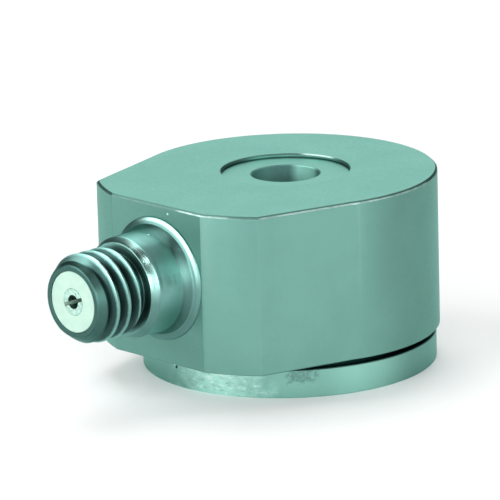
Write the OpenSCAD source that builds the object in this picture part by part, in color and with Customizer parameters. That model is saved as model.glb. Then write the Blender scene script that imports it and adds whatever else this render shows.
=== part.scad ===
// Ring-style vibration sensor: a shear accelerometer with a through hole for its mounting screw
// and a threaded coaxial jack on one side.
// Millimetres. The origin is on the axis of the through hole, in the plane of the mounting face.
// +Z runs up the through hole, and +X points out along the connector.

/* [Base and mounting hole] */
// Diameter of the base disc
base_d = 16; // [15.4:0.1:18]
// Thickness of the base disc
base_t = 1.55; // [1.2:0.05:3]
// Bevel on the rims of the base disc
base_edge = 0.05; // [0.05:0.05:0.3]
// Height of the groove between the base disc and the housing
groove_h = 0.33; // [0.2:0.01:0.8]
// Depth of that groove, measured in from the rim of the base disc
groove_depth = 0.4; // [0.2:0.05:0.4]
// Diameter of the through hole
bore_d = 3.7; // [3:0.1:4.6]
// Bevel on the upper end of the through hole
bore_edge = 0.06; // [0.02:0.02:0.2]
// Diameter of the hollow centre post
post_d = 6.9; // [6:0.1:7.4]
// Depth of the post's end below the top face
recess_depth = 0.22; // [0.1:0.02:0.6]
// How far the base's spigot reaches up into the housing
spigot_h = 0.9; // [0.6:0.1:1.2]

/* [Housing] */
// Height from the mounting face to the top face
height = 10.5; // [10.2:0.1:13]
// How far the housing's round back stands out past the base disc
overhang = 0.2; // [0:0.05:0.4]
// Thickness of the round wall
housing_wall = 1.1; // [0.8:0.1:1.4]
// Thickness of the top wall
top_wall = 1; // [0.8:0.1:1.4]
// Angle by which each side flat closes in towards the connector
side_taper = 16; // [12:1:20]
// How far the rounded corners beside the connector stand out past the round back
corner_reach = 2.05; // [1.9:0.05:2.6]
// Margin of the connector's flat face on each side of the connector's flange
face_margin = 0.02; // [0.01:0.01:0.3]
// Bevel on the top rim
edge_break = 0.12; // [0.05:0.01:0.3]
// Bevel on the bottom rim
lower_break = 0.04; // [0.03:0.01:0.15]
// Bevel on the rim of the recess in the top face
recess_edge = 0.06; // [0.02:0.02:0.2]

/* [Sensing element] */
// Wall of the insulating sleeve on the post
sleeve_wall = 0.25; // [0.15:0.05:0.4]
// Share of the height inside the housing that the insulating sleeve takes
sleeve_share = 0.58; // [0.52:0.01:0.6]
// Share of the room round the sleeve that the piezoelectric ring takes, the rest being the mass
piezo_share = 0.44; // [0.36:0.01:0.5]
// How much lower the piezoelectric ring is than the mass
piezo_short = 0.1; // [0:0.05:0.4]
// Gap between the seismic mass and the housing wall
mass_gap = 0.6; // [0.5:0.1:0.9]
// How far the mass stays clear of either end of the sleeve
element_lift = 0.3; // [0.1:0.05:0.4]

/* [Electronics] */
// Wall of the ring that carries the circuit board
spacer_wall = 1; // [0.8:0.05:1.2]
// Height of that ring
spacer_h = 0.5; // [0.4:0.05:0.7]
// Thickness of the ceramic circuit board
board_t = 0.4; // [0.3:0.05:0.5]
// Gap between the circuit board and the post
board_bore_gap = 0.3; // [0.1:0.05:0.35]
// Gap between the circuit board and the housing wall
board_rim_gap = 0.4; // [0.35:0.05:0.5]
// Length of the amplifier chip, along the board's rim
chip_l = 2; // [1.4:0.1:2.4]
// Width of the amplifier chip
chip_w = 1.5; // [1:0.1:1.7]
// Height of the amplifier chip
chip_h = 0.6; // [0.3:0.05:0.9]
// Length of each resistor
resistor_l = 1; // [0.8:0.1:1.2]
// Width of each resistor
resistor_w = 0.5; // [0.4:0.05:0.7]
// Height of each resistor
resistor_h = 0.35; // [0.2:0.05:0.6]
// Length of the capacitor
capacitor_l = 1.6; // [1.2:0.1:2]
// Width and height of the capacitor
capacitor_w = 0.8; // [0.5:0.05:1]
// Diameter of the three wire leads
lead_d = 0.24; // [0.15:0.01:0.3]
// Length of each lead's soldered foot on the board
lead_foot = 0.9; // [0.6:0.1:1.2]
// Height of the ground lead over the board, as a share of the room there
ground_share = 0.43; // [0.3:0.01:0.6]

/* [Connector] */
// Height of the connector's axis, as a share of the housing's height
connector_share = 0.53; // [0.51:0.005:0.55]
// Outside diameter of the connector's thread
thread_d = 4.826; // [4.4:0.002:5.2]
// Length from the thread's shoulder to the tip
thread_l = 3.3; // [3:0.1:5]
// Length of the lead-in cone at the tip
lead_in_l = 0.75; // [0.4:0.05:1]
// Outside diameter of the tip's rim
tip_d = 3.9; // [3.7:0.05:4.2]
// Diameter of the neck behind the thread
neck_d = 5.5; // [5.3:0.02:5.7]
// Length from the connector face to the thread's shoulder
neck_l = 2.82; // [2.4:0.02:5]
// Length of the bevel at the neck's front shoulder
shoulder_l = 0.42; // [0.1:0.02:0.6]
// Diameter at the small end of that bevel
shoulder_d = 5; // [4.86:0.02:5.2]
// Diameter of the flange against the housing
flange_d = 6.7; // [6.4:0.05:6.9]
// Thickness of the flange, which narrows to its front
flange_t = 0.25; // [0.15:0.01:0.4]
// Diameter of the flange at its front
collar_d = 5.96; // [5.8:0.02:6.1]
// Length of the flare from the flange to the neck
flare_l = 0.45; // [0.2:0.05:0.8]
// Width of the relief groove between the shoulder and the thread
relief_l = 0.35; // [0.2:0.05:0.6]
// Diameter at the floor of that groove
relief_d = 3.9; // [3.8:0.02:4.2]
// Diameter of the shell's spigot in the housing
shell_spigot_d = 4.5; // [4.2:0.1:4.8]
// Length of that spigot
shell_spigot_l = 2; // [1.4:0.1:2.1]
// Diameter of the white insulator
insulator_d = 3.27; // [3.1:0.01:3.4]
// Length of the insulator
insulator_l = 4.6; // [4:0.1:4.8]
// Distance of the insulator's face behind the rim of the tip
insulator_inset = 0.05; // [0:0.01:0.2]
// Diameter of the centre contact's socket
contact_d = 1.42; // [1.2:0.02:1.6]
// Length of the socket
contact_l = 3.6; // [3:0.1:3.8]
// Diameter of the hole in the socket
contact_bore_d = 0.76; // [0.6:0.02:0.9]
// Depth of that hole
contact_bore_l = 2.6; // [2:0.1:2.8]
// Width of the slot that splits the socket
slot_w = 0.2; // [0.1:0.02:0.3]
// Depth of that slot
slot_l = 2; // [1.4:0.1:2.4]
// Angle by which that slot is turned out of the level
slot_turn = 20; // [0:1:45]
// Diameter of the contact's rear pin
pin_d = 0.7; // [0.5:0.05:0.8]
// Diameter of the glass seal
seal_d = 2.8; // [2.4:0.1:3]
// Length of the glass seal
seal_l = 2.6; // [1.8:0.1:2.8]

/* [Fits] */
// Gap left between bonded and welded faces
bond = 0.02; // [0.01:0.005:0.04]

/* [Hidden] */
$fn = 96;

// Finishes, as seen in daylight
TITANIUM = [0.52, 0.60, 0.58];
STEEL = [0.56, 0.62, 0.60];
CERAMIC = [0.93, 0.92, 0.88];
PIEZO = [0.62, 0.58, 0.50];
TUNGSTEN = [0.36, 0.37, 0.38];
POLYMER = [0.80, 0.72, 0.55];
CHIP_BLACK = [0.10, 0.10, 0.11];
CAPACITOR_TAN = [0.62, 0.48, 0.34];
GOLD = [0.83, 0.68, 0.36];
GLASS = [0.30, 0.42, 0.46];
WHITE = [0.93, 0.96, 0.94];

// Radii of the turned pieces
base_r = base_d / 2;
housing_r = base_r + overhang;
nose_r = housing_r + corner_reach;
cavity_r = housing_r - housing_wall;
spigot_r = cavity_r - bond;
groove_r = base_r - groove_depth;
post_r = post_d / 2;
bore_r = bore_d / 2;
sleeve_r = post_r + bond + sleeve_wall;
mass_r = cavity_r - mass_gap;
piezo_r = sleeve_r + bond + piezo_share * (mass_r - sleeve_r - 2 * bond);
spacer_r = post_r + bond + spacer_wall;
board_r = cavity_r - board_rim_gap;
board_bore_r = post_r + board_bore_gap;

// Heights, from the mounting face up
seat_z = base_t + groove_h;
spigot_top = seat_z + spigot_h;
post_top = height - recess_depth;
ceiling_z = height - top_wall;
sleeve_h = sleeve_share * (ceiling_z - spigot_top);
mass_h = sleeve_h - 2 * element_lift;
piezo_h = mass_h - piezo_short;
element_z = spigot_top + element_lift;
spacer_z = spigot_top + sleeve_h + bond;
board_z = spacer_z + spacer_h + bond;
board_top = board_z + board_t;
mass_top = element_z + mass_h;
connector_z = seat_z + connector_share * (height - seat_z);

// Stations along the connector, from the through hole out
face_x = sqrt(pow(nose_r, 2) - pow(flange_d / 2 + face_margin, 2));
thread_x = face_x + neck_l;
tip_x = thread_x + thread_l;
insulator_x = tip_x - insulator_inset;
insulator_back = insulator_x - insulator_l;
contact_back = insulator_x - contact_l;
seal_front = insulator_back - bond;
seal_back = seal_front - seal_l;
shell_back = face_x - shell_spigot_l;
pin_r = pin_d / 2;

// Places round the board, as angles from the connector
chip_angle = 180;
capacitor_angle = 100;
resistor_angles = [230, 262];
signal_angle = 140;
ground_angle = 40;
signal_r = (piezo_r + mass_r) / 2;
component_r = (board_bore_r + board_r) / 2;
lead_bend = lead_d * 0.75;
via_d = lead_d * 1.75;
output_x = board_r + lead_bend + bond;
ground_rise = ground_share * (ceiling_z - board_top);

// The contact's pin ends under the output lead
pin_end = output_x - lead_d / 2 - bond;

// Cuts reach this far past the faces that they open
over = 0.5;

// The side flats are cut this much deeper than the round back, and their bevels are wider to match
flat_step = 0.002;
bevel_step = 0.02;

// Section of a wall whose outer face stands at the given reach, with both rims bevelled.
// Its bevels may be wider by a step, and it may run on past the rims along them, for a cut.
module wall_section(reach, inner, wider = 0, past = 0) {
    upper = edge_break + wider;
    lower = lower_break + wider;
    polygon([
        [inner, seat_z - past],
        [reach - lower - past, seat_z - past],
        [reach, seat_z + lower],
        [reach, height - upper],
        [reach - upper - past, height + past],
        [inner, height + past]
    ]);
}

// Solid turned about the through hole
module turned_block(r) {
    rotate_extrude() wall_section(r, 0);
}

// Everything behind one milled flat, which faces the given direction
module flat_block(direction, reach) {
    rotate([0, 0, direction])
        rotate([90, 0, 0])
            linear_extrude(height = 4 * nose_r, center = true)
                wall_section(reach, -2 * nose_r, bevel_step, over);
}

// Space in front of the lines along which the side flats leave the round back
module front_space() {
    translate([housing_r * sin(side_taper), -2 * nose_r, seat_z - over])
        cube([2 * nose_r, 4 * nose_r, height - seat_z + 2 * over]);
}

// Outer form of the housing: a round back, two side flats, rounded corners and the connector face
module housing_body() {
    turned_block(housing_r);
    intersection() {
        turned_block(nose_r);
        flat_block(90 - side_taper, housing_r - flat_step);
        flat_block(side_taper - 90, housing_r - flat_step);
        flat_block(0, face_x);
        front_space();
    }
}

// Cylinder along the connector's axis, from one station to another
module along_connector(x0, x1, r) {
    translate([x0, 0, connector_z]) rotate([0, 90, 0]) cylinder(h = x1 - x0, r = r);
}

// Profile given as [radius, station] pairs, turned about the connector's axis
module turned_connector(profile) {
    translate([0, 0, connector_z]) rotate([0, 90, 0]) rotate_extrude() polygon(profile);
}

// Ring about the through hole
module ring(z, h, outer, inner) {
    translate([0, 0, z]) difference() {
        cylinder(h = h, r = outer);
        translate([0, 0, -over]) cylinder(h = h + 2 * over, r = inner);
    }
}

// Wire that rises, turns through a right angle and ends in a flat-lying foot.
// It stands on the origin and its foot points along +X.
module bent_lead(rise, foot) {
    straight = rise - lead_bend - lead_d / 2;
    cylinder(h = straight, d = lead_d, $fn = 32);
    translate([lead_bend, 0, straight]) rotate([90, 0, 0])
        rotate_extrude(angle = 90, start = 90, $fn = 32)
            translate([lead_bend, 0]) circle(d = lead_d, $fn = 32);
    translate([lead_bend, 0, straight + lead_bend]) rotate([0, 90, 0])
        cylinder(h = foot, d = lead_d, $fn = 32);
}

// Block that stands on the circuit board at the given place round it
module on_board(angle, size) {
    rotate([0, 0, angle])
        translate([component_r - size[0] / 2, -size[1] / 2, board_top + bond])
            cube(size);
}

// Base disc, groove floor, spigot and hollow post, turned from one bar
module base() {
    color(TITANIUM) rotate_extrude() polygon([
        [bore_r, 0],
        [base_r - base_edge, 0],
        [base_r, base_edge],
        [base_r, base_t - base_edge],
        [base_r - base_edge, base_t],
        [groove_r, base_t],
        [groove_r, seat_z],
        [spigot_r, seat_z],
        [spigot_r, spigot_top],
        [post_r, spigot_top],
        [post_r, post_top],
        [bore_r + bore_edge, post_top],
        [bore_r, post_top - bore_edge]
    ]);
}

// Housing: hollowed from below, drilled for the post and cross-drilled for the connector
module housing() {
    color(TITANIUM) difference() {
        housing_body();
        translate([0, 0, seat_z - over]) cylinder(h = ceiling_z - seat_z + over, r = cavity_r);
        translate([0, 0, ceiling_z - over]) cylinder(h = top_wall + 2 * over, r = post_r + bond);
        translate([0, 0, height - recess_edge])
            cylinder(h = 2 * recess_edge, r1 = post_r + bond, r2 = post_r + bond + 2 * recess_edge);
        along_connector(0, face_x + over, shell_spigot_d / 2 + bond);
    }
}

// Thin sleeve that keeps the sensing element apart from the post
module insulating_sleeve() {
    color(POLYMER) ring(spigot_top, sleeve_h, sleeve_r, post_r + bond);
}

// Ring of piezoelectric ceramic, sheared between the post and the mass
module piezo_ring() {
    color(PIEZO) ring(element_z, piezo_h, piezo_r, sleeve_r + bond);
}

// Heavy ring bonded round the piezoelectric ring
module seismic_mass() {
    color(TUNGSTEN) ring(element_z, mass_h, mass_r, piezo_r + bond);
}

// Ring that stands on the sleeve and carries the board clear of the moving mass
module board_spacer() {
    color(POLYMER) ring(spacer_z, spacer_h, spacer_r, post_r + bond);
}

// Ceramic ring that carries the amplifier, with one hole for the signal lead
module circuit_board() {
    color(CERAMIC) difference() {
        ring(board_z, board_t, board_r, board_bore_r);
        rotate([0, 0, signal_angle]) translate([signal_r, 0, board_z - over])
            cylinder(h = board_t + 2 * over, d = via_d);
    }
}

// Amplifier in its package
module amplifier_chip() {
    color(CHIP_BLACK) on_board(chip_angle, [chip_w, chip_l, chip_h]);
}

// Pair of resistors
module bias_resistors() {
    color(CHIP_BLACK)
        for (angle = resistor_angles) on_board(angle, [resistor_w, resistor_l, resistor_h]);
}

// Capacitor
module coupling_capacitor() {
    color(CAPACITOR_TAN) on_board(capacitor_angle, [capacitor_w, capacitor_l, capacitor_w]);
}

// Lead from the seismic mass up through the board
module signal_lead() {
    color(GOLD) rotate([0, 0, signal_angle]) translate([signal_r, 0, mass_top])
        rotate([0, 0, 180]) bent_lead(board_top - mass_top + lead_d, lead_foot);
}

// Lead from the contact's rear pin, past the rim of the board and over it
module output_lead() {
    lead_z = connector_z + pin_r;
    color(GOLD) translate([output_x, 0, lead_z]) rotate([0, 0, 180])
        bent_lead(board_top - lead_z + lead_d, lead_foot);
}

// Lead from the board to the side of the post
module ground_lead() {
    color(GOLD) rotate([0, 0, ground_angle])
        translate([post_r + lead_d / 2, 0, board_top + lead_d + ground_rise])
            mirror([0, 0, 1]) bent_lead(lead_d + ground_rise, lead_foot);
}

// Connector shell: spigot, flange, neck, shoulder, relief, thread and lead-in, turned from one bar
module connector_shell() {
    front_bore_r = insulator_d / 2 + bond;
    seal_bore_r = seal_d / 2 + bond;
    color(STEEL) turned_connector([
        [seal_bore_r, shell_back],
        [shell_spigot_d / 2, shell_back],
        [shell_spigot_d / 2, face_x],
        [flange_d / 2, face_x],
        [collar_d / 2, face_x + flange_t],
        [neck_d / 2, face_x + flange_t + flare_l],
        [neck_d / 2, thread_x - shoulder_l],
        [shoulder_d / 2, thread_x],
        [relief_d / 2, thread_x],
        [relief_d / 2, thread_x + relief_l],
        [thread_d / 2, thread_x + relief_l],
        [thread_d / 2, tip_x - lead_in_l],
        [tip_d / 2, tip_x],
        [front_bore_r, tip_x],
        [front_bore_r, insulator_back],
        [seal_bore_r, insulator_back]
    ]);
}

// Glass that holds the contact's pin and closes the shell
module glass_seal() {
    color(GLASS) difference() {
        along_connector(seal_back, seal_front, seal_d / 2);
        along_connector(seal_back - over, seal_front + over, pin_r + bond);
    }
}

// White insulator round the centre contact
module insulator() {
    color(WHITE) difference() {
        along_connector(insulator_back, insulator_x, insulator_d / 2);
        along_connector(contact_back - bond, insulator_x + over, contact_d / 2 + bond);
        along_connector(insulator_back - over, insulator_x, pin_r + bond);
    }
}

// Centre contact: a split socket in front and a pin behind, turned from one rod
module centre_contact() {
    color(GOLD) difference() {
        union() {
            along_connector(contact_back, insulator_x, contact_d / 2);
            along_connector(pin_end, insulator_x - contact_bore_l - over, pin_r);
        }
        along_connector(insulator_x - contact_bore_l, insulator_x + over, contact_bore_d / 2);
        translate([insulator_x - slot_l, 0, connector_z])
            rotate([slot_turn, 0, 0])
                translate([0, -contact_d, -slot_w / 2])
                    cube([slot_l + over, 2 * contact_d, slot_w]);
    }
}

base();
housing();
insulating_sleeve();
piezo_ring();
seismic_mass();
board_spacer();
circuit_board();
amplifier_chip();
bias_resistors();
coupling_capacitor();
signal_lead();
output_lead();
ground_lead();
connector_shell();
glass_seal();
insulator();
centre_contact();
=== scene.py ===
"""Looks of a ring-style vibration sensor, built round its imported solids.

Everything is in metres and in the part's own frame: the origin lies on the axis of the through hole,
in the plane of the mounting face, +Z runs up the hole and +X points out along the jack. Sizes that a
maker would read off a drawing are kept in millimetres and turned into metres where they are used.
"""

import logging
import math
from dataclasses import dataclass
from enum import Enum
from functools import reduce
from typing import Optional, Union

import bmesh
import bpy
from mathutils import Matrix, Vector


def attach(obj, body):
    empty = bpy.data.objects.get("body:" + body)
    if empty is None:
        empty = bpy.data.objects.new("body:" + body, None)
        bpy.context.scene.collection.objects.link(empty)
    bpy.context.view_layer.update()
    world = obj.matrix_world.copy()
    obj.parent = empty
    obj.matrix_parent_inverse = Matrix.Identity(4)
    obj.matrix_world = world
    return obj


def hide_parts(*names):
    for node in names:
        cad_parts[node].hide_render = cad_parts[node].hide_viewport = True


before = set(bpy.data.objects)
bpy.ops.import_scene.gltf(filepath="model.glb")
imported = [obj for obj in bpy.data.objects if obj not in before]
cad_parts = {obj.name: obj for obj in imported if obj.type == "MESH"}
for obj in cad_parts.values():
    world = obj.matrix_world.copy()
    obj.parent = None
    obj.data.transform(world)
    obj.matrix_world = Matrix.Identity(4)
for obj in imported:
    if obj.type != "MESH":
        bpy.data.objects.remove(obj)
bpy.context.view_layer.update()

LOG = logging.getLogger("vibration_sensor")
MM = 0.001
BODY = "root"
PHOTO_SIDE = 500
FULL_TURN = 360.0
DEGREES = 180.0 / math.pi

Triple = tuple[float, float, float]
Colour = Triple
Point = Triple
Socket = bpy.types.NodeSocket
Value = Union[float, Triple, Socket]
Coat = tuple[Value, Value]

NO_SHIFT: Point = (0.0, 0.0, 0.0)
EDGE_TINT: Colour = (0.72, 1.0, 0.935)


class Grain(Enum):
    """How a finish draws out its grain along the three axes."""

    EVEN = (1.0, 1.0, 1.0)
    ROUND_JACK = (1.0, 0.04, 0.04)


class Stuff(Enum):
    """Kinds of stuff that the shader tells apart, by how metallic they are."""

    METAL = 1.0
    NON_METAL = 0.0


@dataclass(frozen=True)
class Ramp:
    """Smooth step of a value, held at both ends.

    Attributes:
        low: Where the step begins.
        high: Where it ends.
        start: Result at the beginning.
        end: Result at the end.
    """

    low: float
    high: float
    start: float = 0.0
    end: float = 1.0


@dataclass(frozen=True)
class Band:
    """Stretch of a value with soft ends.

    Attributes:
        low: Where the stretch begins.
        high: Where it ends.
        soft: How far each end fades to either side.
        share: Result between the ends.
    """

    low: float
    high: float
    soft: float
    share: float = 1.0


@dataclass(frozen=True)
class Spot:
    """Small round mark on a surface, in millimetres.

    Attributes:
        centre: Its middle.
        inner: Distance up to which it is full.
        outer: Distance at which it has faded.
    """

    centre: Point
    inner: float
    outer: float


@dataclass(frozen=True)
class Cloud:
    """Cloud of noise on a surface.

    Attributes:
        scale: Grains per millimetre.
        detail: Octaves of finer grain.
        rough: Strength of those octaves.
        grain: How its grain is drawn out.
        shift: Offset that sets it apart from others.
    """

    scale: float
    detail: float
    rough: float = 0.55
    grain: Grain = Grain.EVEN
    shift: Point = NO_SHIFT


@dataclass(frozen=True)
class Relief:
    """Fine relief of a surface.

    Attributes:
        depth: Depth of a full step in millimetres.
        strength: Weight of the relief.
    """

    depth: float
    strength: float


CLOUDY = Ramp(0.3, 0.7)


class NodeBench:
    """Small workbench for one material's nodes, on Object coordinates in millimetres."""

    def __init__(self, name: str) -> None:
        """Start a material that holds one Principled shader.

        Args:
            name: Name of the material.
        """
        self.material = bpy.data.materials.new(name)
        self.material.use_nodes = True
        self.tree = self.material.node_tree
        self.shader = self.tree.nodes["Principled BSDF"]
        self.place = self.mapped(self.add("TexCoord").outputs["Object"], (1.0 / MM,) * 3)

    def link(self, value: Value, socket: Socket) -> None:
        """Feed a socket from another one, or set its constant.

        Args:
            value: A number, a colour or an output socket.
            socket: The input that takes it.
        """
        if isinstance(value, bpy.types.NodeSocket):
            self.tree.links.new(value, socket)
        elif isinstance(value, tuple) and len(value) == 3 and len(socket.default_value) == 4:
            socket.default_value = (*value, 1.0)
        else:
            socket.default_value = value

    def feed(self, node: bpy.types.ShaderNode, values: dict[str, Value]) -> None:
        """Feed a node's inputs by their names, which have underscores for spaces here."""
        for name, value in values.items():
            self.link(value, node.inputs[name.replace("_", " ")])

    def add(self, kind: str, **values: Value) -> bpy.types.ShaderNode:
        """Add a node and feed its inputs.

        Args:
            kind: Kind of the node, without its common prefix.
            **values: What each input takes.

        Returns:
            The node.
        """
        node = self.tree.nodes.new("ShaderNode" + kind)
        self.feed(node, values)
        return node

    def mapped(self, source: Socket, scale: Triple, shift: Point = NO_SHIFT) -> Socket:
        """Stretch a coordinate by a factor along each axis, and shift it."""
        return self.add("Mapping", Vector=source, Scale=scale, Location=shift).outputs["Vector"]

    def noise(self, cloud: Cloud, place: Optional[Socket] = None) -> Socket:
        """Add a cloud of noise.

        Args:
            cloud: The cloud.
            place: Coordinate to use in place of the object's own.

        Returns:
            A factor from 0 to 1.
        """
        source = self.mapped(self.place if place is None else place, cloud.grain.value, cloud.shift)
        node = self.add(
            "TexNoise", Vector=source, Scale=cloud.scale, Detail=cloud.detail, Roughness=cloud.rough)
        return node.outputs["Fac"]

    def math(self, kind: str, first: Value, second: Value = 0.0, third: Value = 0.0) -> Socket:
        """Add one sum.

        Args:
            kind: Name of the operation.
            first: First number.
            second: Second number.
            third: Third number, where the operation has one.

        Returns:
            The result.
        """
        node = self.add("Math")
        node.operation = kind
        for value, socket in zip((first, second, third), node.inputs):
            self.link(value, socket)
        return node.outputs["Value"]

    def product(self, *values: Value) -> Socket:
        """Multiply numbers in turn."""
        return reduce(lambda first, second: self.math("MULTIPLY", first, second), values)

    def largest(self, *values: Value) -> Socket:
        """Give the largest of some numbers."""
        return reduce(lambda first, second: self.math("MAXIMUM", first, second), values)

    def plus(self, base: Value, value: Value, share: float) -> Socket:
        """Add a share of a value to a number."""
        return self.math("MULTIPLY_ADD", value, share, base)

    def less(self, base: Value, value: Value) -> Socket:
        """Take a value from a number."""
        return self.math("SUBTRACT", base, value)

    def length(self, first: Socket, second: Socket) -> Socket:
        """Give the length of a flat vector from its two sides."""
        return self.math("SQRT", self.math("ADD", self.product(first, first), self.product(second, second)))

    def degrees(self, rise: Socket, run: Socket) -> Socket:
        """Give the angle of a flat vector in degrees."""
        return self.product(self.math("ARCTAN2", rise, run), DEGREES)

    def full_turn(self, angle: Socket) -> Socket:
        """Count an angle from 0 to a full turn."""
        return self.math("FLOORED_MODULO", angle, FULL_TURN)

    def span(self, value: Value, ramp: Ramp, origin: float = 0.0) -> Socket:
        """Carry a value over a smooth step.

        Args:
            value: Number to carry over.
            ramp: The step.
            origin: Where the step is measured from.

        Returns:
            The carried number.
        """
        node = self.add("MapRange", Value=value, From_Min=origin + ramp.low, From_Max=origin + ramp.high,
                        To_Min=ramp.start, To_Max=ramp.end)
        node.interpolation_type = "SMOOTHSTEP"
        return node.outputs["Result"]

    def within(self, value: Value, band: Band, origin: float = 0.0) -> Socket:
        """Mark a stretch of a value.

        Args:
            value: Number that is tested.
            band: The stretch.
            origin: Where the stretch is measured from.

        Returns:
            A factor from 0 to the band's share.
        """
        rise = Ramp(band.low - band.soft, band.low + band.soft, 0.0, band.share)
        fall = Ramp(band.high - band.soft, band.high + band.soft, 1.0, 0.0)
        return self.product(self.span(value, rise, origin), self.span(value, fall, origin))

    def near(self, spot: Spot) -> Socket:
        """Mark a spot.

        Args:
            spot: The spot.

        Returns:
            A factor from 0 to 1.
        """
        node = self.add("VectorMath")
        node.operation = "DISTANCE"
        for value, socket in zip((self.place, spot.centre), node.inputs):
            self.link(value, socket)
        return self.span(node.outputs["Value"], Ramp(spot.inner, spot.outer, 1.0, 0.0))

    def blend(self, factor: Value, first: Value, second: Value) -> Socket:
        """Mix two colours.

        Args:
            factor: Share of the second colour.
            first: Colour at 0.
            second: Colour at 1.

        Returns:
            The mixed colour.
        """
        node = self.add("Mix", Factor=factor)
        node.data_type = "RGBA"
        ends = [socket for socket in node.inputs if socket.type == "RGBA"]
        for value, socket in zip((first, second), ends):
            self.link(value, socket)
        return next(socket for socket in node.outputs if socket.type == "RGBA")

    def clouded(self, cloud: Socket, dark: Colour, light: Colour) -> Socket:
        """Let a colour vary between a dark and a light tone."""
        return self.blend(self.span(cloud, CLOUDY), dark, light)

    def coated(self, colour: Value, *coats: Coat) -> Value:
        """Lay coats of other tones on a colour.

        Args:
            colour: Colour below.
            *coats: Mask and tone of each coat, from the lowest up.

        Returns:
            The colour with its coats.
        """
        for mask, tone in coats:
            colour = self.blend(mask, colour, tone)
        return colour

    def split(self) -> tuple[Socket, Socket, Socket]:
        """Give the three coordinates of a point in millimetres."""
        node = self.add("SeparateXYZ", Vector=self.place)
        return node.outputs["X"], node.outputs["Y"], node.outputs["Z"]

    def polar(self) -> tuple[Socket, Socket, Socket]:
        """Give radius, angle in degrees from the jack, and height of a point about the through hole."""
        x, y, z = self.split()
        return self.length(x, y), self.degrees(y, x), z

    def bump(self, height: Socket, relief: Relief) -> Socket:
        """Turn a height from 0 to 1 into a bumped normal."""
        node = self.add("Bump", Height=height, Distance=relief.depth * MM, Strength=relief.strength)
        return node.outputs["Normal"]

    def finish(self, **values: Value) -> bpy.types.Material:
        """Feed the shader and give the finished material."""
        self.feed(self.shader, values)
        return self.material

    def metal(self, colour: Socket, rough: Socket, normal: Socket) -> bpy.types.Material:
        """Finish a metal, with its cast at grazing angles."""
        return self.finish(Base_Color=colour, Metallic=Stuff.METAL.value, Roughness=rough, Normal=normal,
                           Specular_Tint=EDGE_TINT)


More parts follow.
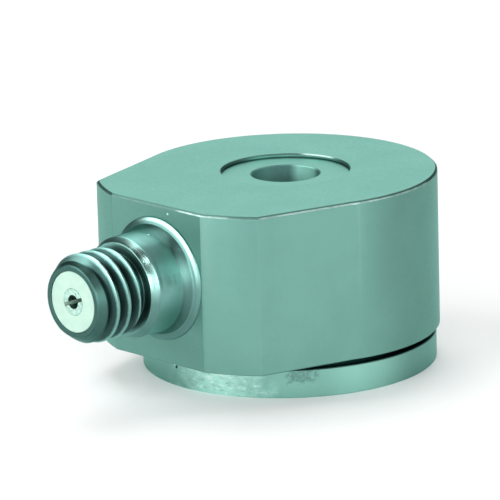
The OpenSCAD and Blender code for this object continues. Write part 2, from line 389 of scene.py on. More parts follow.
@dataclass(frozen=True)
class BlastedTitanium:
    """Fine-blasted titanium of the housing, a little cloudy, with a weld seam, painted highlights and
    painted shade on its edges and corner, and painted shade on its underside.

    Ramps and bands run along a radius or a height in millimetres, or along an angle in degrees
    counter-clockwise from the jack.
    """

    name: str = "blasted_titanium"
    light: Colour = (0.1435, 0.308, 0.266)
    dark: Colour = (0.132, 0.286, 0.247)
    # Dark colour of the weld seam, also painted shade on the housing's underside.
    seam_and_underside_shade: Colour = (0.03, 0.075, 0.07)
    # Painted highlight tone, laid on the bevel's lower edge, part of the recess's rim and the corner beside
    # the connector's face.
    painted_highlight: Colour = (0.72, 0.96, 0.90)
    # Painted shade tone.
    shade: Colour = (0.085, 0.19, 0.165)
    nicked: Colour = (0.62, 0.86, 0.78)
    cloud: Cloud = Cloud(0.35, 4.0)
    grain: Cloud = Cloud(9.0, 3.0, 0.7)
    relief: Relief = Relief(0.003, 0.35)
    roughness: Ramp = Ramp(0.25, 0.75, 0.36, 0.48)
    connector_face: Ramp = Ramp(9.62, 9.66)
    face_roughness: float = 0.14
    nick: Spot = Spot((9.68, 0.92, 10.11), 0.03, 0.09)
    post_hole: Ramp = Ramp(3.49, 3.51, 1.0, 0.0)
    below_recess: Ramp = Ramp(10.32, 10.37, 1.0, 0.0)
    # Where painted shade darkens the housing's underside.
    underside: Ramp = Ramp(1.888, 1.9, 1.0, 0.0)
    underside_r: Ramp = Ramp(8.15, 8.3, 1.0, 0.0)
    outer_wall: Ramp = Ramp(7.9, 8.0)
    below_bevel: Ramp = Ramp(10.34, 10.36, 1.0, 0.0)
    # Painted shade and painted highlight on the rounded corner.
    corner_shade: Ramp = Ramp(21.0, 36.9)
    corner_end: Ramp = Ramp(36.9, 37.1, 1.0, 0.0)
    corner_height: Ramp = Ramp(3.5, 9.5, 0.16, 0.46)
    corner_start: Ramp = Ramp(19.0, 19.3)
    corner_highlight: Ramp = Ramp(20.5, 25.0, 0.045, 0.0)
    corner_highlight_height: Ramp = Ramp(5.0, 8.0)
    patch: Cloud = Cloud(1.6, 2.0, shift=(3.0, 0.0, 0.0))
    patchy: Ramp = Ramp(0.35, 0.6, 0.5, 1.0)
    clear_of_recess: Ramp = Ramp(4.0, 4.2)
    # Painted highlight on the bevel's lower edge and the recess's rim; painted shade beside them.
    bevel_line: Band = Band(10.365, 10.43, 0.012)
    line_on_corner: Band = Band(10.0, 28.0, 3.0)
    line_on_flat: Band = Band(37.5, 112.0, 1.5, 0.7)
    line_elsewhere: float = 0.12
    bevel_upper: Band = Band(10.43, 10.493, 0.008)
    upper_shade: Ramp = Ramp(36.0, 38.5, 0.0, 0.6)
    recess_rim: Band = Band(3.4, 3.56, 0.01)
    rim_height: Ramp = Ramp(10.42, 10.45)
    rim_shade: Band = Band(212.0, 318.0, 4.0, 0.75)
    rim_highlight: Band = Band(178.0, 209.0, 5.0)

    def corner(self, bench: NodeBench, radius: Socket, angle: Socket, z: Socket) -> tuple[Coat, ...]:
        """Paint shade on the rounded corner toward the side flat, and a painted highlight on it beside the
        connector's face.

        Args:
            bench: Bench of the material.
            radius: Distance from the hole's axis.
            angle: Angle about it.
            z: Height.

        Returns:
            The coats.
        """
        wall = bench.product(bench.span(radius, self.outer_wall), bench.span(z, self.below_bevel))
        # Painted shade toward the side flat, painted highlight beside the connector's face.
        darkened = bench.product(
            bench.span(angle, self.corner_shade), bench.span(angle, self.corner_end),
            bench.span(z, self.corner_height), wall)
        highlight_patch = bench.product(
            bench.span(angle, self.corner_highlight), bench.span(angle, self.corner_start), wall,
            bench.span(z, self.corner_highlight_height))
        return (darkened, self.shade), (highlight_patch, self.painted_highlight)

    def edges(self, bench: NodeBench, radius: Socket, angle: Socket, z: Socket) -> tuple[Coat, ...]:
        """Paint a highlight along the bevel's lower edge and on part of the recess's rim, and paint shade
        on the bevel's upper part toward the side flat and on another part of the rim.

        Args:
            bench: Bench of the material.
            radius: Distance from the hole's axis.
            angle: Angle about it.
            z: Height.

        Returns:
            The coats.
        """
        outside = bench.span(radius, self.clear_of_recess)
        where = bench.largest(
            bench.within(angle, self.line_on_corner), bench.within(angle, self.line_on_flat),
            self.line_elsewhere)
        patchy = bench.span(bench.noise(self.patch), self.patchy)
        # Painted highlight along the bevel's lower edge and painted shade above it; painted highlight and
        # painted shade on the recess's rim.
        line = bench.product(bench.within(z, self.bevel_line), outside, patchy, where)
        darkened = bench.product(
            bench.within(z, self.bevel_upper), outside, bench.span(angle, self.upper_shade))
        around = bench.full_turn(angle)
        rim = bench.product(bench.within(radius, self.recess_rim), bench.span(z, self.rim_height))
        return (
            (darkened, self.shade),
            (line, self.painted_highlight),
            (bench.product(rim, bench.within(around, self.rim_shade)), self.shade),
            (bench.product(rim, bench.within(around, self.rim_highlight)), self.painted_highlight),
        )

    def material(self) -> bpy.types.Material:
        """Make the material.

        Returns:
            The finished material.
        """
        bench = NodeBench(self.name)
        grain = bench.noise(self.grain)
        radius, angle, z = bench.polar()
        weld = bench.product(bench.span(radius, self.post_hole), bench.span(z, self.below_recess))
        # Painted shade on the housing's underside, over the base's groove; the weld seam is a dark joint.
        under = bench.product(bench.span(z, self.underside), bench.span(radius, self.underside_r))
        colour = bench.coated(
            bench.clouded(bench.noise(self.cloud), self.dark, self.light),
            *self.corner(bench, radius, angle, z),
            *self.edges(bench, radius, angle, z),
            (bench.largest(weld, under), self.seam_and_underside_shade),
            (bench.near(self.nick), self.nicked))
        on_face = bench.span(bench.split()[0], self.connector_face)
        rough = bench.plus(bench.span(grain, self.roughness), on_face, self.face_roughness)
        return bench.metal(colour, rough, bench.bump(grain, self.relief))


@dataclass(frozen=True)
class ScuffedTitanium:
    """Turned titanium of the base: a painted highlight with fine scratch lines on part of the rim, painted
    light and shade round the rest of the rim and in the hole, and painted shade in the groove.

    Ramps and bands run along a radius or a height in millimetres, or along an angle in degrees
    counter-clockwise from the jack.
    """

    name: str = "scuffed_titanium"
    post: Colour = (0.1435, 0.308, 0.266)
    rim: Colour = (0.185, 0.385, 0.335)
    # Painted light: brighter tone toward the side.
    side: Colour = (0.24, 0.49, 0.425)
    # Painted shade: darker tone behind.
    darkened: Colour = (0.155, 0.325, 0.285)
    # Painted highlight, where the fine scratch lines lie.
    highlight_patch: Colour = (0.46, 0.81, 0.715)
    fleck: Colour = (0.80, 0.95, 0.90)
    # Dark colour of the pit, also painted shade in the groove.
    grime_and_shade: Colour = (0.006, 0.018, 0.018)
    stain: Colour = (0.085, 0.18, 0.158)
    # Painted light and painted shade of the hole's wall.
    hole_painted_light: Colour = (0.34, 0.68, 0.60)
    hole_painted_shade: Colour = (0.11, 0.245, 0.225)
    hole_painted_half_shade: Colour = (0.165, 0.37, 0.335)
    on_rim: Ramp = Ramp(7.78, 7.82)
    in_hole: Ramp = Ramp(1.88, 1.92, 1.0, 0.0)
    groove_r: Ramp = Ramp(6.9, 7.0)
    groove_lip: Ramp = Ramp(1.54, 1.548)
    groove_floor: Ramp = Ramp(1.24, 1.34)
    line: Cloud = Cloud(1.0, 3.0, 0.7)
    line_turn: float = 0.26
    line_rise: float = 5.0
    cloud: Cloud = Cloud(1.3, 3.0)
    wander: float = 24.0
    # Where the painted shade behind, the brighter painted side and the painted highlight lie.
    ahead: Band = Band(-28.0, 92.0, 10.0)
    to_side: Ramp = Ramp(56.0, 74.0)
    bright: Band = Band(4.0, 29.0, 14.0)
    streaks: Ramp = Ramp(0.52, 0.66, 0.0, 0.8)
    gaps: Ramp = Ramp(0.32, 0.46, 0.65, 0.0)
    blotch: Cloud = Cloud(3.2, 3.0, shift=(5.0, 0.0, 0.0))
    blotch_rise: float = 1.1
    blotch_turn: float = 14.0
    patch: Band = Band(51.0, 62.0, 2.0)
    patch_height: Ramp = Ramp(1.25, 1.6)
    pepper: Cloud = Cloud(7.0, 2.0)
    peppered: Ramp = Ramp(0.35, 0.6, 0.3, 0.75)
    pit: Spot = Spot((7.98, -0.564, 1.071), 0.05, 0.13)
    pit_edge: Spot = Spot((7.968, -0.712, 1.168), 0.03, 0.08)
    hole_turn: Ramp = Ramp(235.0, 275.0)
    hole_highlight: Band = Band(163.0, 211.0, 10.0)
    hole_roughness: float = 0.25
    grain: Cloud = Cloud(9.0, 3.0, 0.7)
    roughness: Ramp = Ramp(0.25, 0.75, 0.33, 0.45)
    relief: Relief = Relief(0.004, 0.35)

    def rim_lines(self, bench: NodeBench, angle: Socket, z: Socket) -> Socket:
        """Fine lines that run round the rim.

        Args:
            bench: Bench of the material.
            angle: Angle about the hole's axis.
            z: Height.

        Returns:
            A factor from 0 to 1.
        """
        along, up = bench.product(angle, self.line_turn), bench.product(z, self.line_rise)
        return bench.noise(self.line, bench.add("CombineXYZ", X=along, Y=up).outputs["Vector"])

    def rim_colour(self, bench: NodeBench, angle: Socket, z: Socket, lines: Socket) -> Socket:
        """Colour of the rim: a painted highlight with fine scratch lines in front, a brighter painted tone
        toward the side, painted shade behind, and a few marks.

        Args:
            bench: Bench of the material.
            angle: Angle about the hole's axis.
            z: Height.
            lines: Fine lines round the rim.

        Returns:
            The colour.
        """
        # Painted light toward the side and painted shade behind.
        plain = bench.blend(bench.span(angle, self.to_side), self.rim, self.side)
        plain = bench.blend(bench.within(angle, self.ahead), self.darkened, plain)
        # Painted highlight, with the scratch lines laid in it.
        wander = bench.plus(angle, bench.noise(self.cloud), self.wander)
        highlight_patch = bench.within(bench.less(wander, 0.5 * self.wander), self.bright)
        blotch = bench.noise(self.blotch)
        patch = bench.product(
            bench.within(bench.plus(angle, blotch, self.blotch_turn), self.patch),
            bench.span(bench.plus(z, blotch, self.blotch_rise), self.patch_height),
            bench.span(bench.noise(self.pepper), self.peppered))
        return bench.coated(
            plain,
            (highlight_patch, self.highlight_patch),
            (bench.product(bench.span(lines, self.streaks), highlight_patch), self.fleck),
            (bench.product(bench.span(lines, self.gaps), highlight_patch), self.rim),
            (patch, self.stain),
            (bench.near(self.pit), self.grime_and_shade),
            (bench.near(self.pit_edge), self.fleck))

    def hole_colour(self, bench: NodeBench, angle: Socket) -> Socket:
        """Colour of the hole's wall: painted light on one side and painted shade on the other.

        Args:
            bench: Bench of the material.
            angle: Angle about the hole's axis.

        Returns:
            The colour.
        """
        around = bench.full_turn(angle)
        return bench.coated(
            self.hole_painted_shade,
            (bench.span(around, self.hole_turn), self.hole_painted_half_shade),
            (bench.within(around, self.hole_highlight), self.hole_painted_light))

    def material(self) -> bpy.types.Material:
        """Make the material.

        Returns:
            The finished material.
        """
        bench = NodeBench(self.name)
        radius, angle, z = bench.polar()
        lines = self.rim_lines(bench, angle, z)
        grain = bench.noise(self.grain)
        on_rim = bench.span(radius, self.on_rim)
        in_hole = bench.span(radius, self.in_hole)
        # Painted shade in the groove between base and housing.
        in_groove = bench.product(
            bench.span(radius, self.groove_r),
            bench.largest(bench.span(z, self.groove_lip), bench.less(1.0, on_rim)),
            bench.span(z, self.groove_floor))
        colour = bench.coated(
            self.post,
            (on_rim, self.rim_colour(bench, angle, z, lines)),
            (in_hole, self.hole_colour(bench, angle)),
            (in_groove, self.grime_and_shade))
        rough = bench.plus(bench.span(grain, self.roughness), in_hole, self.hole_roughness)
        height = bench.math("ADD", bench.product(lines, on_rim), grain)
        return bench.metal(colour, rough, bench.bump(height, self.relief))


@dataclass(frozen=True)
class TurnedSteel:
    """Turned steel of the jack: rings left by the tool, painted shade in the thread up to its crests,
    painted highlights on the bead, shoulder and crests, and painted shade on the neck, flange, crease and
    shoulder.

    Ramps and bands run along the jack in millimetres from one of the stations, along the height or
    the radius about its axis, or along the turn about it in degrees, from the near flat's side upward.

    Attributes:
        axis_z: Height of the jack's axis.
        face_x: Station of the connector's face, from which bead, flange, crease and neck are measured.
        thread_x: Station of the shoulder's front, from which shoulder and thread are measured.
        clean_x: Station where the clean lead-in begins, from which the thread's end is measured.
        crest_r: Radius of the crests, from which the thread's depth is measured.
    """

    axis_z: float
    face_x: float
    thread_x: float
    clean_x: float
    crest_r: float
    name: str = "turned_steel"
    light: Colour = (0.208, 0.42, 0.385)
    # Painted shade in the thread's grooves.
    dark: Colour = (0.18, 0.37, 0.338)
    groove_shade: Colour = (0.014, 0.035, 0.033)
    # Painted highlight tone.
    highlight_tone: Colour = (0.41, 0.71, 0.65)
    # Painted shade tone.
    jack_shade: Colour = (0.06, 0.14, 0.125)
    darkened: Colour = (0.051, 0.119, 0.105)
    chip: Colour = (0.9, 0.98, 0.95)
    cloud: Cloud = Cloud(0.6, 3.0)
    rings: Cloud = Cloud(9.0, 3.0, 0.65, Grain.ROUND_JACK)
    relief: Relief = Relief(0.003, 0.4)
    roughness: Ramp = Ramp(0.3, 0.7, 0.30, 0.44)
    # Painted highlights on the bead, shoulder and crests, on the turns given.
    highlight_rings: Ramp = Ramp(0.3, 0.6, 0.6, 1.0)
    shine_roughness: float = -0.15
    bead: Band = Band(0.09, 0.17, 0.03)
    bead_turn: Band = Band(12.0, 110.0, 14.0)
    # Painted shade on the flange, in the crease, on top of the neck and on the shoulder's lower side.
    flange: Ramp = Ramp(0.2, 0.24, 0.55, 0.0)
    crease: Band = Band(0.22, 0.8, 0.1, 0.8)
    neck: Band = Band(0.42, 2.37, 0.05, 0.5)
    neck_top: Ramp = Ramp(1.5, 2.5)
    shoulder: Band = Band(-0.4, -0.02, 0.03)
    shoulder_turn: Band = Band(10.0, 82.0, 22.0)
    shoulder_shade: Band = Band(-0.44, 0.02, 0.03, 0.55)
    lower_side: Ramp = Ramp(-10.0, 30.0, 1.0, 0.0)
    upper_side: Ramp = Ramp(66.0, 92.0)
    on_thread: Ramp = Ramp(-0.02, 0.02)
    crests: Ramp = Ramp(-0.06, -0.02)
    crest_turn: Band = Band(22.0, 80.0, 18.0)
    rear_crests: Ramp = Ramp(-1.0, -0.6, 0.5, 1.0)
    # Painted shade in the thread's grooves, deeper below and on top.
    groove_shade_level: Ramp = Ramp(-0.17, -0.03, 0.92, 0.0)
    groove_shade_edge: Cloud = Cloud(5.0, 2.0)
    groove_shade_edge_depth: float = 0.06
    groove_shade_rise: float = 0.065
    groove_shade_end: Ramp = Ramp(-0.1, 0.25, 1.0, 0.0)
    run_out: Ramp = Ramp(-0.55, -0.3, 0.0, 0.5)
    run_out_turn: Ramp = Ramp(60.0, 85.0)
    lead_in: Ramp = Ramp(0.0, 0.12)
    speck: Spot = Spot((10.727, 0.535, 9.146), 0.04, 0.08)

    def groove_shade_mask(self, bench: NodeBench, x: Socket, radius: Socket, turn: Socket) -> Socket:
        """Mark the painted shade in the thread, which reaches higher below and on top.

        Args:
            bench: Bench of the material.
            x: Station along the jack.
            radius: Distance from the jack's axis.
            turn: Turn about that axis.

        Returns:
            A factor from 0 to 1.
        """
        shaded_sides = bench.largest(bench.span(turn, self.lower_side), bench.span(turn, self.upper_side))
        ragged = bench.plus(radius, bench.noise(self.groove_shade_edge), self.groove_shade_edge_depth)
        level = bench.plus(ragged, shaded_sides, -self.groove_shade_rise)
        run_out = bench.product(
            bench.span(x, self.run_out, self.clean_x), bench.span(turn, self.run_out_turn))
        return bench.product(
            bench.span(level, self.groove_shade_level, self.crest_r), bench.span(x, self.on_thread, self.thread_x),
            bench.span(x, self.groove_shade_end, self.clean_x), bench.less(1.0, run_out))

    def highlight_mask(self, bench: NodeBench, x: Socket, radius: Socket, turn: Socket) -> Socket:
        """Mark the painted highlights, which also get a smoother finish: stretches of the bead, the
        shoulder and the crests.

        Args:
            bench: Bench of the material.
            x: Station along the jack.
            radius: Distance from the jack's axis.
            turn: Turn about that axis.

        Returns:
            A factor from 0 to 1.
        """
        bead = bench.product(
            bench.within(x, self.bead, self.face_x), bench.within(turn, self.bead_turn))
        shoulder = bench.product(
            bench.within(x, self.shoulder, self.thread_x), bench.within(turn, self.shoulder_turn))
        crests = bench.product(
            bench.span(x, self.on_thread, self.thread_x), bench.span(radius, self.crests, self.crest_r),
            bench.within(turn, self.crest_turn), bench.span(x, self.rear_crests, self.clean_x))
        return bench.largest(bead, shoulder, crests)

    def material(self) -> bpy.types.Material:
        """Make the material.

        Returns:
            The finished material.
        """
        bench = NodeBench(self.name)
        rings = bench.noise(self.rings)
        x, y, z = bench.split()
        height = bench.less(z, self.axis_z)
        radius, turn = bench.length(y, height), bench.degrees(height, y)
        # Painted highlight on the bead, the shoulder and the crests.
        highlight = bench.product(
            self.highlight_mask(bench, x, radius, turn), bench.span(rings, self.highlight_rings))
        # Painted shade on top of the neck and on the shoulder's lower side.
        neck_top = bench.product(
            bench.span(height, self.neck_top), bench.within(x, self.neck, self.face_x))
        shoulder_shade = bench.product(
            bench.within(x, self.shoulder_shade, self.thread_x), bench.span(turn, self.lower_side))
        colour = bench.coated(
            bench.clouded(bench.noise(self.cloud), self.dark, self.light),
            # Painted shade on the neck's top, the flange and the shoulder's lower side.
            (neck_top, self.jack_shade),
            (bench.span(x, self.flange, self.face_x), self.jack_shade),
            (shoulder_shade, self.jack_shade),
            # Painted highlight.
            (highlight, self.highlight_tone),
            # Painted shade in the crease.
            (bench.within(x, self.crease, self.face_x), self.jack_shade),
            (bench.span(x, self.lead_in, self.clean_x), self.darkened),
            # Painted shade in the thread's grooves.
            (self.groove_shade_mask(bench, x, radius, turn), self.groove_shade),
            (bench.near(self.speck), self.chip))
        rough = bench.plus(bench.span(rings, self.roughness), highlight, self.shine_roughness)
        return bench.metal(colour, rough, bench.bump(rings, self.relief))


@dataclass(frozen=True)
class WhitePolymer:
    """Turned white fluoropolymer, faintly green in the shade, with a fine grain."""

    name: str = "white_polymer"
    light: Colour = (0.363, 0.528, 0.446)
    dark: Colour = (0.334, 0.49, 0.412)
    cloud: Cloud = Cloud(1.6, 3.0)
    grain: Cloud = Cloud(14.0, 2.0)
    roughness: Ramp = Ramp(0.3, 0.7, 0.42, 0.56)
    relief: Relief = Relief(0.004, 0.3)
    glow_through: float = 0.15
    glow_reach: float = 0.4

    def material(self) -> bpy.types.Material:
        """Make the material.

        Returns:
            The finished material.
        """
        bench = NodeBench(self.name)
        grain = bench.noise(self.grain)
        colour = bench.clouded(bench.noise(self.cloud), self.dark, self.light)
        rough = bench.span(grain, self.roughness)
        return bench.finish(
            Base_Color=colour, Roughness=rough, Normal=bench.bump(grain, self.relief),
            Subsurface_Weight=self.glow_through, Subsurface_Scale=self.glow_reach * MM)


@dataclass(frozen=True)
class PlainFinish:
    """Finish of a piece with one colour that varies a little, such as the sealed inner pieces."""

    name: str
    light: Colour
    dark: Colour
    stuff: Stuff
    roughness: float
    grain_scale: float
    grain_detail: float = 3.0
    spread: float = 0.05
    relief: Relief = Relief(0.004, 0.3)

    def material(self) -> bpy.types.Material:
        """Make the material.

        Returns:
            The finished material.
        """
        bench = NodeBench(self.name)
        grain = bench.noise(Cloud(self.grain_scale, self.grain_detail))
        smooth, coarse = self.roughness - self.spread, self.roughness + self.spread
        return bench.finish(
            Base_Color=bench.clouded(grain, self.dark, self.light), Metallic=self.stuff.value,
            Roughness=bench.span(grain, Ramp(CLOUDY.low, CLOUDY.high, smooth, coarse)),
            Normal=bench.bump(grain, self.relief))


Finish = Union[BlastedTitanium, ScuffedTitanium, TurnedSteel, WhitePolymer, PlainFinish]


def dress(obj: bpy.types.Object, material: bpy.types.Material) -> None:
    """Give an object one material.

    Args:
        obj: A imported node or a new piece.
        material: Its finish.
    """
    if obj.material_slots:
        for holder in obj.material_slots:
            holder.material = material
    else:
        obj.data.materials.append(material)


def piece_from(bm: bmesh.types.BMesh, name: str, sharp_deg: float) -> bpy.types.Object:
    """Turn a finished bmesh into an object at the origin, smooth between its sharp edges.

    Args:
        bm: The mesh, which is freed.
        name: Name of the object.
        sharp_deg: Angle between two faces from which their edge stays sharp.

    Returns:
        The new object.
    """
    bmesh.ops.recalc_face_normals(bm, faces=bm.faces[:])
    for face in bm.faces:
        face.smooth = True
    for edge in bm.edges:
        edge.smooth = len(edge.link_faces) == 2 and edge.calc_face_angle() < math.radians(sharp_deg)
    mesh = bpy.data.meshes.new(name)
    bm.to_mesh(mesh)
    bm.free()
    obj = bpy.data.objects.new(name, mesh)
    bpy.context.scene.collection.objects.link(obj)
    return obj


@dataclass(frozen=True)
class JackShell:
    """Threaded shell of the jack: spigot, flange, neck, shoulder, relief, thread and lead-in.

    Sizes are in millimetres. Stations are measured along the jack from the axis of the hole.
    """

    axis_z: float = 6.4486
    face_x: float = 9.68017
    spigot_l: float = 2.0
    spigot_r: float = 2.25
    flange_r: float = 3.35
    flange_t: float = 0.25
    flange_edge: float = 0.06
    collar_r: float = 2.98
    flare_l: float = 0.45
    flare_round: float = 0.2
    neck_r: float = 2.75
    neck_l: float = 2.82
    shoulder_l: float = 0.42
    shoulder_r: float = 2.5
    corner_round: float = 0.05
    edge_round: float = 0.03
    round_steps: int = 4
    thread_l: float = 3.3
    relief_l: float = 0.35
    root_r: float = 1.95
    crest_r: float = 2.413
    flank_deg: float = 30.0
    pitch: float = 0.79375
    crest_at: float = 14.70
    crest_flat: float = 0.10
    lead_in_l: float = 0.75
    clean_l: float = 0.6
    tip_break: float = 0.05
    root_fillet: float = 0.03
    seal_bore_r: float = 1.42
    front_bore_r: float = 1.655
    insulator_l: float = 4.65
    steps: int = 128
    flank_rows: int = 5
    spare_turns: int = 3
    sharp_deg: float = 28.0
    seam_join: float = 1e-4
    rim_join: float = 2e-5
    cut_join: float = 1e-6

    @property
    def thread_x(self) -> float:
        """Station of the shoulder's front face."""
        return self.face_x + self.neck_l

    @property
    def tip_x(self) -> float:
        """Station of the tip."""
        return self.thread_x + self.thread_l

    @property
    def depth(self) -> float:
        """Depth of the thread."""
        return self.crest_r - self.root_r

    @property
    def slope(self) -> float:
        """Run of a flank along the jack for each millimetre of its depth."""
        return math.tan(math.radians(self.flank_deg))

    def spin(self, bm: bmesh.types.BMesh, geom: list, turns: int, lead: float, closed: bool) -> None:
        """Turn an outline about the jack's axis.

        Args:
            bm: Mesh that holds it.
            geom: Its vertices and edges.
            turns: Number of full turns.
            lead: Advance along the jack in each turn.
            closed: Whether the last step joins the first.
        """
        bmesh.ops.spin(
            bm, geom=geom, cent=(0.0, 0.0, self.axis_z * MM), axis=(1.0, 0.0, 0.0),
            dvec=(lead * MM / self.steps, 0.0, 0.0), angle=2.0 * math.pi * turns,
            steps=self.steps * turns, use_merge=closed, use_duplicate=False)

    def pitch_section(self) -> list[tuple[float, float]]:
        """Section of one pitch of the thread, from one root to the next.

        Returns:
            Pairs of axial offset and radius.
        """
        flank = self.depth * self.slope
        root = (self.pitch - 2.0 * flank - self.crest_flat) / 2.0
        rows = [(0.0, self.root_r)]
        for row in range(self.flank_rows + 1):
            share = row / self.flank_rows
            rows.append((root + flank * share, self.root_r + self.depth * share))
        mirrored = [(self.pitch - x, r) for x, r in reversed(rows)]
        return rows + mirrored

    def limit(self, x: float) -> float:
        """Largest radius that the lead-in and the relief leave at a station.

        Args:
            x: Station along the jack.

        Returns:
            The radius.
        """
        lead_in = self.root_r + self.depth * (self.tip_x - x) / self.lead_in_l
        relief = self.root_r + (x - self.thread_x - self.relief_l) / self.slope
        return max(self.root_r, min(lead_in, relief, self.crest_r))

    def trim(self, bm: bmesh.types.BMesh) -> None:
        """Draw the thread in to what the lead-in and the relief leave of it.

        Args:
            bm: Mesh that holds the thread alone.
        """
        for vert in bm.verts:
            y, z = vert.co.y, vert.co.z - self.axis_z * MM
            radius = math.hypot(y, z)
            held = min(radius, self.limit(vert.co.x / MM) * MM)
            vert.co.y, vert.co.z = y * held / radius, z * held / radius + self.axis_z * MM

    def thread(self, bm: bmesh.types.BMesh) -> tuple[list, list]:
        """Sweep the thread along its helix and trim it at the shoulder and the tip.

        Args:
            bm: Mesh that takes it.

        Returns:
            The edges of the rear and the front rim.
        """
        turns = math.ceil(self.thread_l / self.pitch) + self.spare_turns
        start = self.crest_at - 0.5 * self.pitch
        while start > self.thread_x - 1.5 * self.pitch:
            start -= self.pitch
        verts = []
        for x, r in self.pitch_section():
            verts.append(bm.verts.new(Vector((start + x, r, self.axis_z)) * MM))
        edges = [bm.edges.new(pair) for pair in zip(verts, verts[1:])]
        self.spin(bm, verts + edges, turns, self.pitch, closed=False)
        bmesh.ops.remove_doubles(bm, verts=bm.verts[:], dist=self.seam_join * MM)
        self.trim(bm)
        rims = []
        ends = (
            (self.thread_x + self.root_fillet, "clear_inner"),
            (self.tip_x - self.tip_break, "clear_outer"),
        )
        for x, side in ends:
            cut = bmesh.ops.bisect_plane(
                bm, geom=bm.verts[:] + bm.edges[:] + bm.faces[:], dist=self.cut_join * MM,
                plane_co=(x * MM, 0.0, 0.0), plane_no=(1.0, 0.0, 0.0), **{side: True})
            rims.append([item for item in cut["geom_cut"] if isinstance(item, bmesh.types.BMEdge)])
        return rims[0], rims[1]

    def profile(self) -> list[tuple[float, float, float]]:
        """Turned outline from the shoulder's front, round the back, to the mouth of the bore.

        Returns:
            Station, radius and corner rounding of each point.
        """
        back = self.face_x - self.spigot_l
        seat = self.tip_x - self.insulator_l
        collar = self.face_x + self.flange_t
        return [
            (self.thread_x, self.root_r + self.root_fillet, 0.0),
            (self.thread_x, self.shoulder_r, self.edge_round),
            (self.thread_x - self.shoulder_l, self.neck_r, self.corner_round),
            (collar + self.flare_l, self.neck_r, self.flare_round),
            (collar, self.collar_r, self.corner_round),
            (self.face_x + self.flange_edge, self.flange_r, self.corner_round),
            (self.face_x, self.flange_r, 0.0),
            (self.face_x, self.spigot_r, 0.0),
            (back, self.spigot_r, 0.0),
            (back, self.seal_bore_r, 0.0),
            (seat, self.seal_bore_r, 0.0),
            (seat, self.front_bore_r, 0.0),
            (self.tip_x, self.front_bore_r, self.edge_round),
            (self.tip_x, self.root_r - self.tip_break, 0.0),
        ]

    def turned(self, bm: bmesh.types.BMesh) -> tuple[list, list]:
        """Turn the plain part of the shell.

        Args:
            bm: Mesh that takes it.

        Returns:
            The edges of its open rim at the shoulder and of its open rim at the tip.
        """
        before = set(bm.faces)
        points = self.profile()
        outline = [bm.verts.new(Vector((x, 0.0, self.axis_z + r)) * MM) for x, r, _ in points]
        for pair in zip(outline, outline[1:]):
            bm.edges.new(pair)
        for vert, (_, _, rounding) in zip(outline, points):
            if rounding > 0.0:
                bmesh.ops.bevel(
                    bm, geom=[vert], offset=rounding * MM, offset_type="OFFSET",
                    segments=self.round_steps, profile=0.5, affect="VERTICES", material=-1)
        verts = [vert for vert in bm.verts if vert.is_wire]
        edges = [edge for edge in bm.edges if edge.is_wire]
        self.spin(bm, verts + edges, 1, 0.0, closed=True)
        faces = [face for face in bm.faces if face not in before]
        loose = [edge for face in faces for edge in face.edges if edge.is_boundary]
        middle = 0.5 * (self.thread_x + self.tip_x) * MM
        rear = [edge for edge in loose if edge.verts[0].co.x < middle]
        front = [edge for edge in loose if edge.verts[0].co.x > middle]
        return rear, front

    def finish(self) -> TurnedSteel:
        """Give the shell's finish, placed on its own stations."""
        return TurnedSteel(axis_z=self.axis_z, face_x=self.face_x, thread_x=self.thread_x,
                           clean_x=self.tip_x - self.clean_l, crest_r=self.crest_r)

    def build(self) -> bpy.types.Object:
        """Model the shell and let it stand for the plain solid.

        Returns:
            The piece.
        """
        bm = bmesh.new()
        thread_rear, thread_front = self.thread(bm)
        rim_rear, rim_front = self.turned(bm)
        bmesh.ops.bridge_loops(bm, edges=thread_rear + rim_rear)
        bmesh.ops.bridge_loops(bm, edges=thread_front + rim_front)
        bmesh.ops.remove_doubles(bm, verts=bm.verts[:], dist=self.rim_join * MM)
        piece = piece_from(bm, "jack_shell", self.sharp_deg)
        dress(piece, self.finish().material())
        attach(piece, BODY)
        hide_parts("connector_shell")
        return piece


@dataclass
class PackedNodes:
    """Nodes whose solid already has the right shape, each with its finish."""

    finishes: dict[str, Finish]

    def dress_all(self) -> None:
        """Give each node its finish, one material for all nodes that share it."""
        made: dict[str, bpy.types.Material] = {}
        for node, finish in self.finishes.items():
            if finish.name not in made:
                made[finish.name] = finish.material()
            dress(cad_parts[node], made[finish.name])
            LOG.info("node %s: %s", node, finish.name)


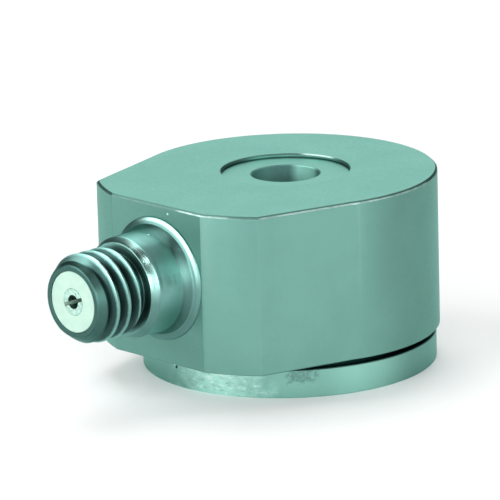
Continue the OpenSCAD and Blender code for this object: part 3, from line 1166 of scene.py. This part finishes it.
def sensor_finishes() -> dict[str, Finish]:
    """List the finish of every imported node.

    Returns:
        Finish by node name.
    """
    metal, other = Stuff.METAL, Stuff.NON_METAL
    steel = PlainFinish("plain_steel", (0.30, 0.56, 0.49), (0.24, 0.47, 0.41), metal, 0.3, 4.0)
    plating = PlainFinish("plated_contact", (0.50, 0.74, 0.64), (0.34, 0.55, 0.48), metal, 0.3, 5.0)
    alloy = PlainFinish("heavy_alloy", (0.16, 0.16, 0.17), (0.11, 0.11, 0.12), metal, 0.4, 5.0)
    gold = PlainFinish("gold_wire", (0.78, 0.52, 0.16), (0.66, 0.42, 0.12), metal, 0.3, 6.0)
    polymer = PlainFinish("machined_polymer", (0.60, 0.48, 0.27), (0.54, 0.42, 0.23), other, 0.5, 3.0)
    epoxy = PlainFinish("moulded_epoxy", (0.014, 0.014, 0.016), (0.008, 0.008, 0.01), other, 0.45, 8.0)
    piezo = PlainFinish("fired_piezo", (0.36, 0.32, 0.24), (0.29, 0.25, 0.19), other, 0.6, 6.0)
    alumina = PlainFinish("fired_alumina", (0.86, 0.84, 0.77), (0.78, 0.76, 0.70), other, 0.5, 4.0)
    capacitor = PlainFinish("capacitor_body", (0.36, 0.22, 0.11), (0.30, 0.18, 0.09), other, 0.5, 6.0)
    glass = PlainFinish("sealing_glass", (0.08, 0.15, 0.18), (0.06, 0.12, 0.14), other, 0.15, 5.0)
    return {
        "base": ScuffedTitanium(),
        "housing": BlastedTitanium(),
        "connector_shell": steel,
        "insulator": WhitePolymer(),
        "centre_contact": plating,
        "insulating_sleeve": polymer,
        "board_spacer": polymer,
        "piezo_ring": piezo,
        "seismic_mass": alloy,
        "circuit_board": alumina,
        "amplifier_chip": epoxy,
        "bias_resistors": epoxy,
        "coupling_capacitor": capacitor,
        "signal_lead": gold,
        "output_lead": gold,
        "ground_lead": gold,
        "glass_seal": glass,
    }


@dataclass(frozen=True)
class Lamp:
    """One square soft light that faces the part.

    Attributes:
        name: Name of the light.
        azimuth: Direction to it in degrees, counter-clockwise from +X.
        elevation: Its height above the table in degrees.
        glow: Brightness of its face.
        side: Length of its side in metres.
        distance: Its distance from the part in metres.
        aim_z: Height of the point that it faces, in millimetres.
    """

    name: str
    azimuth: float
    elevation: float
    glow: float
    side: float = 0.3
    distance: float = 0.5
    aim_z: float = 5.0

    def hang(self) -> None:
        """Hang the light where it belongs."""
        turn, lift = math.radians(self.azimuth), math.radians(self.elevation)
        toward = Vector((math.cos(turn) * math.cos(lift), math.sin(turn) * math.cos(lift), math.sin(lift)))
        data = bpy.data.lights.new(self.name, "AREA")
        data.shape = "SQUARE"
        data.size = self.side
        data.energy = math.pi * self.side ** 2 * self.glow
        lamp = bpy.data.objects.new(self.name, data)
        lamp.matrix_world = (
            Matrix.Translation(toward * self.distance + Vector((0.0, 0.0, self.aim_z * MM)))
            @ toward.to_track_quat("Z", "Y").to_matrix().to_4x4())
        bpy.context.scene.collection.objects.link(lamp)


def studio_lamps() -> tuple[Lamp, ...]:
    """List the lights: wide soft ones round the table, close ones at the jack, and small glints.

    Returns:
        The lights.
    """
    return (
        Lamp("behind_camera", 45.5, 10.0, 5.2),
        Lamp("front_right", 90.5, 10.0, 4.7),
        Lamp("back_low", 225.5, 10.0, 1.12),
        Lamp("key", -44.5, 32.0, 3.4),
        Lamp("right_fill", 90.5, 32.0, 2.1),
        Lamp("back_middle", 225.5, 45.0, 2.75),
        Lamp("back_high", 225.5, 75.0, 2.75),
        Lamp("back_right", 180.5, 45.0, 0.57),
        Lamp("jack_close", -10.0, 25.0, 3.27, side=0.06, distance=0.1),
        Lamp("jack_low", 0.0, 8.0, 1.52, side=0.05, distance=0.1),
        Lamp("front_close", 20.0, 12.0, 1.44, side=0.06, distance=0.12),
        Lamp("shoulder_glint", 58.0, 58.0, 14.0, side=0.05),
        Lamp("edge_glint", 133.0, 58.0, 5.0, side=0.07),
        Lamp("corner_glint", -26.0, 62.0, 6.0, side=0.07),
    )


@dataclass(frozen=True)
class Studio:
    """White table, soft light and the camera.

    The camera's distance and sensor are in millimetres, its centre and focal length in pixels of the
    picture and angles in degrees. What it sees and the table's half side are in metres.
    """

    distance: float = 272.627
    elevation: float = 16.329
    roll: float = -1.415
    swing: float = 44.542
    centre: tuple[float, float] = (289.546, 355.402)
    focal_px: float = 5000.0
    sensor: float = 36.0
    nearest: float = 0.01
    farthest: float = 20.0
    table_half: float = 1.5
    table_light: Colour = (0.90, 0.90, 0.90)
    table_dark: Colour = (0.88, 0.89, 0.89)
    table_cloud: Cloud = Cloud(0.02, 2.0)
    table_roughness: float = 0.9
    table_sharp_deg: float = 30.0
    room_glow: float = 0.0

    def camera(self) -> None:
        """Stand the camera where the object is seen as in its picture."""
        lift, roll, swing = (math.radians(angle) for angle in (self.elevation, self.roll, self.swing))
        right = Vector((-math.cos(swing), math.sin(swing), 0.0))
        level = Vector((-math.sin(swing), -math.cos(swing), 0.0))
        forward = level * math.cos(lift) - Vector((0.0, 0.0, math.sin(lift)))
        up = right.cross(forward)
        side = right * math.cos(roll) + up * math.sin(roll)
        head = up * math.cos(roll) - right * math.sin(roll)
        middle = (PHOTO_SIDE - 1) / 2.0
        across = (middle - self.centre[0]) / self.focal_px
        upward = (self.centre[1] - middle) / self.focal_px
        aim = (forward + side * across + head * upward).normalized()
        side = aim.cross(head).normalized()
        head = side.cross(aim)
        data = bpy.data.cameras.new("camera")
        data.sensor_width = self.sensor
        data.lens = self.sensor * self.focal_px / PHOTO_SIDE
        data.clip_start = self.nearest
        data.clip_end = self.farthest
        camera = bpy.data.objects.new("camera", data)
        turn = Matrix((side, head, -aim)).transposed()
        eye = -forward * (self.distance * MM)
        camera.matrix_world = Matrix.Translation(eye) @ turn.to_4x4()
        bpy.context.scene.collection.objects.link(camera)
        bpy.context.scene.camera = camera

    def table(self) -> None:
        """Lay the white table under the part."""
        bm = bmesh.new()
        bmesh.ops.create_grid(bm, x_segments=1, y_segments=1, size=self.table_half)
        table = piece_from(bm, "table", self.table_sharp_deg)
        bench = NodeBench("white_table")
        colour = bench.blend(bench.noise(self.table_cloud), self.table_dark, self.table_light)
        dress(table, bench.finish(Base_Color=colour, Roughness=self.table_roughness))

    def room(self) -> None:
        """Set the even light of the room."""
        world = bpy.data.worlds.new("room")
        world.use_nodes = True
        world.node_tree.nodes["Background"].inputs["Strength"].default_value = self.room_glow
        bpy.context.scene.world = world

    def build(self) -> None:
        """Set up table, light and camera."""
        self.table()
        self.room()
        for lamp in studio_lamps():
            lamp.hang()
        self.camera()
        bpy.context.scene.view_settings.view_transform = "Standard"


def main() -> None:
    """Build every piece in order and report it."""
    logging.basicConfig(level=logging.INFO)
    PackedNodes(sensor_finishes()).dress_all()
    shell = JackShell().build()
    LOG.info("piece %s: %d faces", shell.name, len(shell.data.polygons))
    Studio().build()
    LOG.info("table, light and camera are set")


if __name__ == "__main__":
    main()
